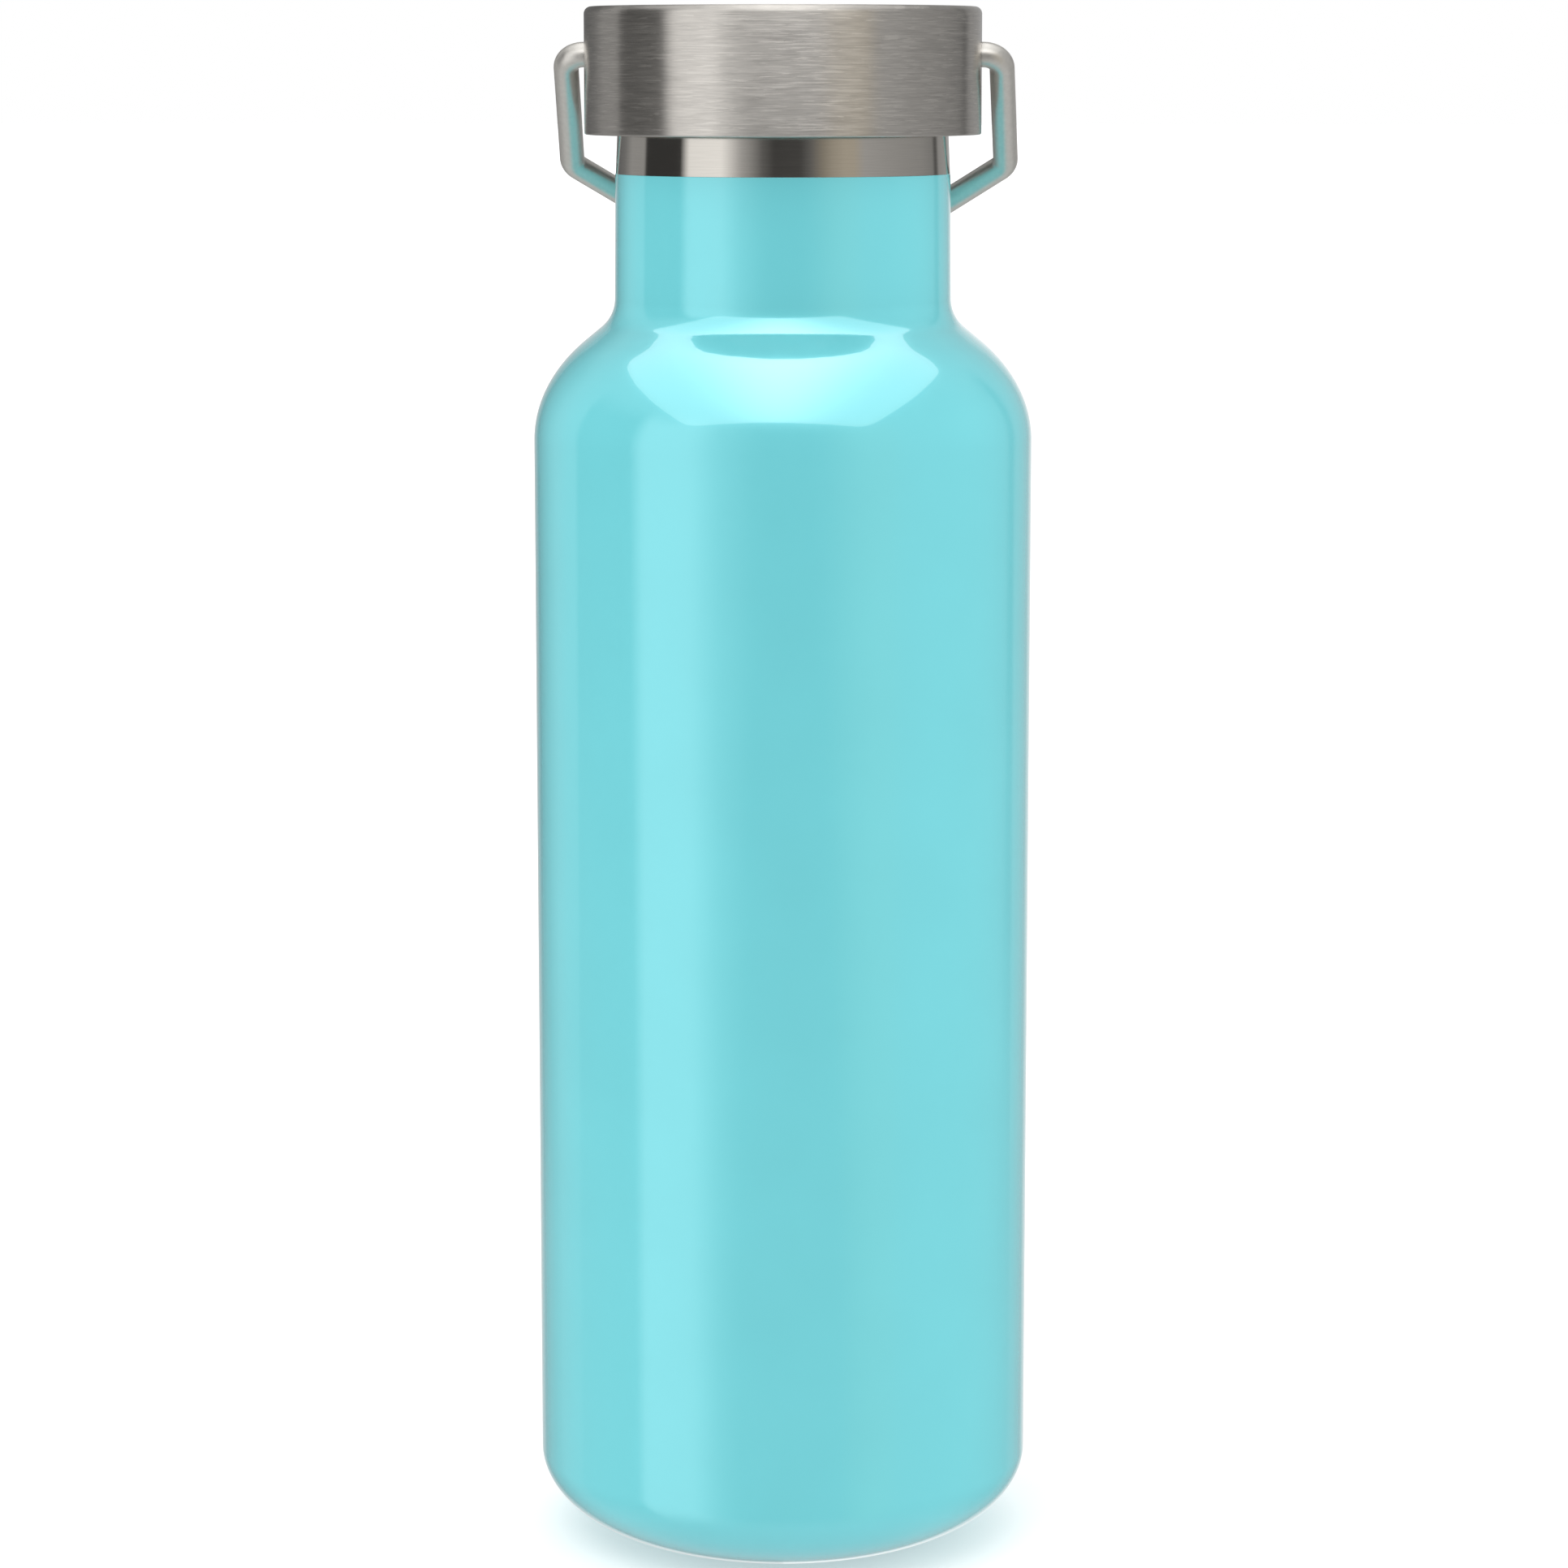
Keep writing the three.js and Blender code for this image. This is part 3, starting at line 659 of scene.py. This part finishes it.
def bush(name, node, side):
    """Flanged sleeve with rounded edges, along X."""
    lo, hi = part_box(node)
    inner_x, outer_x = min(abs(lo.x), abs(hi.x)), max(abs(lo.x), abs(hi.x))
    flange_x = outer_x - BUSH_FLANGE
    corners = [(BUSH_INNER_R, inner_x, 0), (BUSH_SLEEVE_R, inner_x, 0.2 * MM),
               (BUSH_SLEEVE_R, flange_x, 0.1 * MM), (hi.y, flange_x, 0.15 * MM),
               (hi.y, outer_x, 0.15 * MM), (BUSH_INNER_R, outer_x, 0)]
    piece = turned(name, rounded(corners, 3), AROUND_SMALL)
    piece.data.transform(Matrix.Translation((0, 0, PIVOT_Z)) @ Matrix.Rotation(side * math.pi / 2, 4, "Y"))
    return finish_piece(piece, "lid", "plug_plastic", PLASTIC, node)


# ---- handle ---------------------------------------------------------------------------------


def handle_path():
    """Centre line of the rod: straight runs joined by round bends, as points."""
    half = [(PIN_END_X, 0), (HANDLE_TOP_X, 0), (HANDLE_LOW_X, HANDLE_LEG), (HANDLE_BAR_X, HANDLE_LENGTH)]
    flat = half + [(-x, y) for x, y in reversed(half)]
    corners = [Vector((x, y * math.sin(HANDLE_TILT), PIVOT_Z - y * math.cos(HANDLE_TILT))) for x, y in flat]
    points = [corners[0]]
    for before, here, after in zip(corners, corners[1:], corners[2:]):
        back, ahead = (before - here).normalized(), (after - here).normalized()
        half_angle = back.angle(ahead) / 2
        reach = ROD_BEND / math.tan(half_angle)
        centre = here + (back + ahead).normalized() * (ROD_BEND / math.sin(half_angle))
        first, last = here + back * reach - centre, here + ahead * reach - centre
        points += [centre + first.slerp(last, k / 14).normalized() * ROD_BEND for k in range(15)]
    return points + [corners[-1]]


def rod_handle():
    """Round rod swept along its path, with chamfered ends inside the lid."""
    path = handle_path()
    chamfer = 0.4 * MM
    in_from_start = path[0] + (path[1] - path[0]).normalized() * chamfer
    in_from_end = path[-1] + (path[-2] - path[-1]).normalized() * chamfer
    stations = [(path[0], ROD_R - chamfer), (in_from_start, ROD_R)]
    stations += [(p, ROD_R) for p in path[1:-1]]
    stations += [(in_from_end, ROD_R), (path[-1], ROD_R - chamfer)]
    side = Vector((0, math.cos(HANDLE_TILT), math.sin(HANDLE_TILT)))
    verts, faces = [], []
    for i, (centre, radius) in enumerate(stations):
        ahead = stations[min(i + 1, len(stations) - 1)][0] - stations[max(i - 1, 0)][0]
        across = ahead.normalized().cross(side).normalized()
        for k in range(AROUND_ROD):
            angle = TAU * k / AROUND_ROD
            verts.append(centre + (side * math.cos(angle) + across * math.sin(angle)) * radius)
    for i in range(len(stations) - 1):
        for k in range(AROUND_ROD):
            here, there, step = i * AROUND_ROD, (i + 1) * AROUND_ROD, (k + 1) % AROUND_ROD
            faces.append((here + k, here + step, there + step, there + k))
    faces.append(tuple(range(AROUND_ROD)))
    faces.append(tuple(range(len(verts) - AROUND_ROD, len(verts))))
    piece = new_piece("rod_handle", verts, faces, 50)
    return finish_piece(piece, "handle", "handle_steel", ROD, "bail_handle")


SHELL = painted_shell()
neck_band()
liner()
dished_disc("liner_base", "inner_base", INNER, "inner_steel")
bottle_base()
glass_bead()
getter_pill()
foil_sleeve()
lid_cup()
plug()
foam_block()
seal_ring()
bush("bush_left", "pivot_bush_left", -1)
bush("bush_right", "pivot_bush_right", 1)
rod_handle()

# ---- studio ---------------------------------------------------------------------------------

CAMERA_AZIMUTH = math.radians(3.0)
CAMERA_DISTANCE = 650 * MM       # from the bottle's axis
CAMERA_HEIGHT = 210.57 * MM
CAMERA_PITCH = math.radians(8.902)
CAMERA_LENS, CAMERA_SENSOR = 105.93, 36                  # focal length and sensor width, millimetres
AXIS_OFFSET = 0.15 * MM          # the bottle stands this far left of the picture's middle

FLOOR_SIZE = 30.0
FLOOR_GLOW = 0.4                 # light that the floor gives off, so that the foot isn't lost in shadow
BACKDROP = (1.0, 1.0, 1.0, 1)    # what the camera sees past the floor
AMBIENT = (1.15, 1.15, 1.15, 1)  # even light that every matt surface gets

# What glossy surfaces see. First the walls: brightness by angle from the camera's direction, in
# degrees, positive to the right of the camera.
WALLS = [(-180, 0.18), (-154, 0.15), (-140, 0.22), (-128, 0.38), (-111, 0.39), (-108, 0.05),
         (-74.5, 0.05), (-67.5, 1.14), (-43, 1.20), (-29, 0.52), (-14, 0.15), (-6, 0.07),
         (12, 0.08), (19, 0.16), (28, 0.30, 1), (34, 0.40, 1), (43, 0.48, 1), (50, 0.48, 1),
         (58, 0.47), (75, 0.42), (110, 0.35), (126, 0.28), (129, 0.12), (132, 0.12),
         (136, 0.36), (158, 0.40), (180, 0.50)]
WARM = (1.09, 1.0, 0.84)         # tint of the walls' stops that end in 1
WALLS_TOP = 2.0                  # brightness that a ramp value of 1 stands for
# Then what lies above and below them, with the sines of the elevations where it starts and is full.
TABLE, TABLE_REACH = 0.30, (-0.04, -0.25)                  # least brightness below the horizon
CEILING, CEILING_REACH = (0.4, 0.4, 0.4, 1), (0.35, 0.6)
GROUND, GROUND_REACH = (0.6, 0.6, 0.6, 1), (-0.45, -0.85)

# Softboxes: name, place, aim, size, power, light left far from the brightest place, how fast it
# drops to that sideways and lengthways, brightest place, and whether they light the painted shell
# only or all but the shell. The steel has its own overhead one, because it burns out in the
# shell's. The one behind keeps the shell's outlines from greying, and reaches below the floor, which
# reflections pass through.
OVERHEAD = (0, -0.155, 0.851), (0, 0.095, -0.149), (1.6, 1.433)
OVERHEAD_DROP = 0.30, (7.7, 0.5), 0.5
SOFTBOXES = [("overhead_for_paint", *OVERHEAD, 34, *OVERHEAD_DROP, "INCLUDE"),
             ("overhead_for_steel", *OVERHEAD, 11, *OVERHEAD_DROP, "EXCLUDE"),
             ("front_for_steel", (0.15, -1.05, 0.80), (0, 0, 0.19), (2.4, 0.6), 7.2,
              0.0, (2.2, 0), 0, "EXCLUDE"),
             ("back_for_paint", (-0.105, 1.997, -0.15), (0, 0, 0.05), (1.7, 2.4), 7.0,
              0.0, (1.6, 0), 0, "INCLUDE")]
SOFTBOX_CORNER = 12.0            # power of the superellipse that rounds a softbox's outline

# Broad far lights for matt surfaces only: name, power, elevation and angle from the camera's direction.
MATT_LIGHTS = [("key", 0.7, 58, -18), ("side_left", 0.9, 6, -104), ("side_right", 1.1, 6, 104)]
MATT_LIGHT_WIDTH = math.radians(40)


def camera():
    data = bpy.data.cameras.new("camera")
    data.sensor_width, data.lens = CAMERA_SENSOR, CAMERA_LENS
    made = bpy.data.objects.new("camera", data)
    bpy.context.scene.collection.objects.link(made)
    right = Vector((math.cos(CAMERA_AZIMUTH), math.sin(CAMERA_AZIMUTH), 0))
    back = Vector((math.sin(CAMERA_AZIMUTH), -math.cos(CAMERA_AZIMUTH), 0))
    made.location = back * CAMERA_DISTANCE + right * AXIS_OFFSET + Vector((0, 0, CAMERA_HEIGHT))
    made.rotation_euler = (math.pi / 2 - CAMERA_PITCH, 0, CAMERA_AZIMUTH)
    data.clip_start, data.clip_end = 0.01, 100
    bpy.context.scene.camera = made


def floor():
    """A pale floor that neither shows in reflections nor stops the light of the softbox behind."""
    half = FLOOR_SIZE / 2
    corners = [(-half, -half, 0), (half, -half, 0), (half, half, 0), (-half, half, 0)]
    piece = new_piece("floor", corners, [(0, 1, 2, 3)])
    made = Material("floor_white", roughness=0.9, specular_ior_level=0.2,
                    emission_strength=FLOOR_GLOW, emission_color=(1, 1, 1, 1))
    made.colour(made.noise(made.place, 40.0), (0.60, 0.60, 0.60), (0.62, 0.62, 0.62))
    piece.data.materials.append(made.material)
    piece.visible_glossy = False
    piece.visible_shadow = False


def surroundings():
    """A light tent: walls of soft panels and dark gaps, a ceiling, the ground, a plain backdrop."""
    world = bpy.data.worlds.new("studio")
    bpy.context.scene.world = world
    world.use_nodes = True
    node = node_maker(world.node_tree)

    def reached(height, start, full, level=1.0, **settings):
        values = {0: height, 1: start, 2: full, 3: 0.0, 4: level}
        return node("MapRange", values, **settings).outputs[0]

    def mixed(factor, first, second):
        return node("Mix", {0: factor, 6: first, 7: second}, data_type="RGBA").outputs[2]

    direction = node("TexCoord").outputs["Generated"]
    turn_back = {"Vector": direction, "Axis": (0, 0, 1), "Angle": -CAMERA_AZIMUTH}
    x, y, z = node("SeparateXYZ", {0: node("VectorRotate", turn_back).outputs[0]}).outputs
    ahead = node("Math", {0: y, 1: -1.0}, operation="MULTIPLY").outputs[0]
    angle = node("Math", {0: x, 1: ahead}, operation="ARCTAN2").outputs[0]
    ramp = node("ValToRGB", {0: reached(angle, -math.pi, math.pi)})
    stops = ramp.color_ramp.elements
    stops.remove(stops[1])
    for i, (degrees, level, *warm) in enumerate(WALLS):
        stop = stops[0] if i == 0 else stops.new((degrees + 180) / 360)
        stop.position = (degrees + 180) / 360
        stop.color = (*shade(WARM if warm else (1, 1, 1), level / WALLS_TOP), 1)
    seen = node("VectorMath", {0: ramp.outputs[0], 3: WALLS_TOP}, operation="SCALE").outputs[0]
    table = reached(z, *TABLE_REACH, TABLE)
    seen = node("VectorMath", {0: seen, 1: table}, operation="MAXIMUM").outputs[0]
    seen = mixed(reached(z, *CEILING_REACH, interpolation_type="SMOOTHSTEP"), seen, CEILING)
    seen = mixed(reached(z, *GROUND_REACH, interpolation_type="SMOOTHSTEP"), seen, GROUND)
    path = node("LightPath").outputs
    seen = mixed(path["Is Diffuse Ray"], seen, AMBIENT)
    seen = mixed(path["Is Camera Ray"], seen, BACKDROP)
    world.node_tree.links.new(seen, world.node_tree.nodes["Background"].inputs["Color"])
    world.cycles.sampling_method = "NONE"


def softbox(name, centre, aim, size, power, edge, focus, middle_at, state):
    """A soft panel at centre, facing aim, size metres wide and deep, brightest in its middle.

    edge is the brightness left far from the brightest place, focus is how fast it drops sideways
    and lengthways, and middle_at moves the brightest place back, as a share of half the depth. With
    the state INCLUDE it lights the painted shell only, and with EXCLUDE everything else.
    """
    data = bpy.data.lights.new(name, "AREA")
    data.shape, data.size, data.size_y = "RECTANGLE", *size
    data.energy = power
    data.use_nodes = True
    node = node_maker(data.node_tree)

    def calc(operation, *values):
        return node("Math", dict(enumerate(values)), operation=operation).outputs[0]

    spot = node("SeparateXYZ", {0: node("NewGeometry").outputs["Parametric"]}).outputs
    across, along = (calc("ABSOLUTE", calc("MULTIPLY_ADD", way, 2.0, -1.0)) for way in spot[:2])
    outline = calc("ADD", calc("POWER", across, SOFTBOX_CORNER), calc("POWER", along, SOFTBOX_CORNER))
    inside = calc("LESS_THAN", outline, 1.0)
    off_middle = calc("SUBTRACT", calc("MULTIPLY_ADD", spot[1], 2.0, -1.0), middle_at)
    drop = calc("ADD", *(calc("MULTIPLY", calc("MULTIPLY", way, way), -rate)
                         for way, rate in zip((across, off_middle), focus)))
    middle = calc("MULTIPLY", calc("EXPONENT", drop), 1.0 - edge)
    strength = calc("MULTIPLY", inside, calc("ADD", middle, edge))
    data.node_tree.links.new(strength, data.node_tree.nodes["Emission"].inputs["Strength"])
    made = bpy.data.objects.new(name, data)
    bpy.context.scene.collection.objects.link(made)
    made.location = centre
    made.rotation_euler = (Vector(aim) - Vector(centre)).to_track_quat("-Z", "Y").to_euler()
    made.visible_camera = False
    made.visible_diffuse = False
    receivers = bpy.data.collections.new(name + "_receivers")
    receivers.objects.link(SHELL)
    receivers.collection_objects[0].light_linking.link_state = state
    made.light_linking.receiver_collection = receivers


def matt_light(name, power, elevation, azimuth):
    data = bpy.data.lights.new(name, "SUN")
    data.energy, data.angle = power, MATT_LIGHT_WIDTH
    made = bpy.data.objects.new(name, data)
    bpy.context.scene.collection.objects.link(made)
    made.rotation_euler = (math.radians(90 - elevation), 0, CAMERA_AZIMUTH + math.radians(azimuth))
    made.visible_glossy = False


bpy.context.scene.view_settings.view_transform = "Standard"
camera()
floor()
surroundings()
for box in SOFTBOXES:
    softbox(*box)
for light in MATT_LIGHTS:
    matt_light(*light)
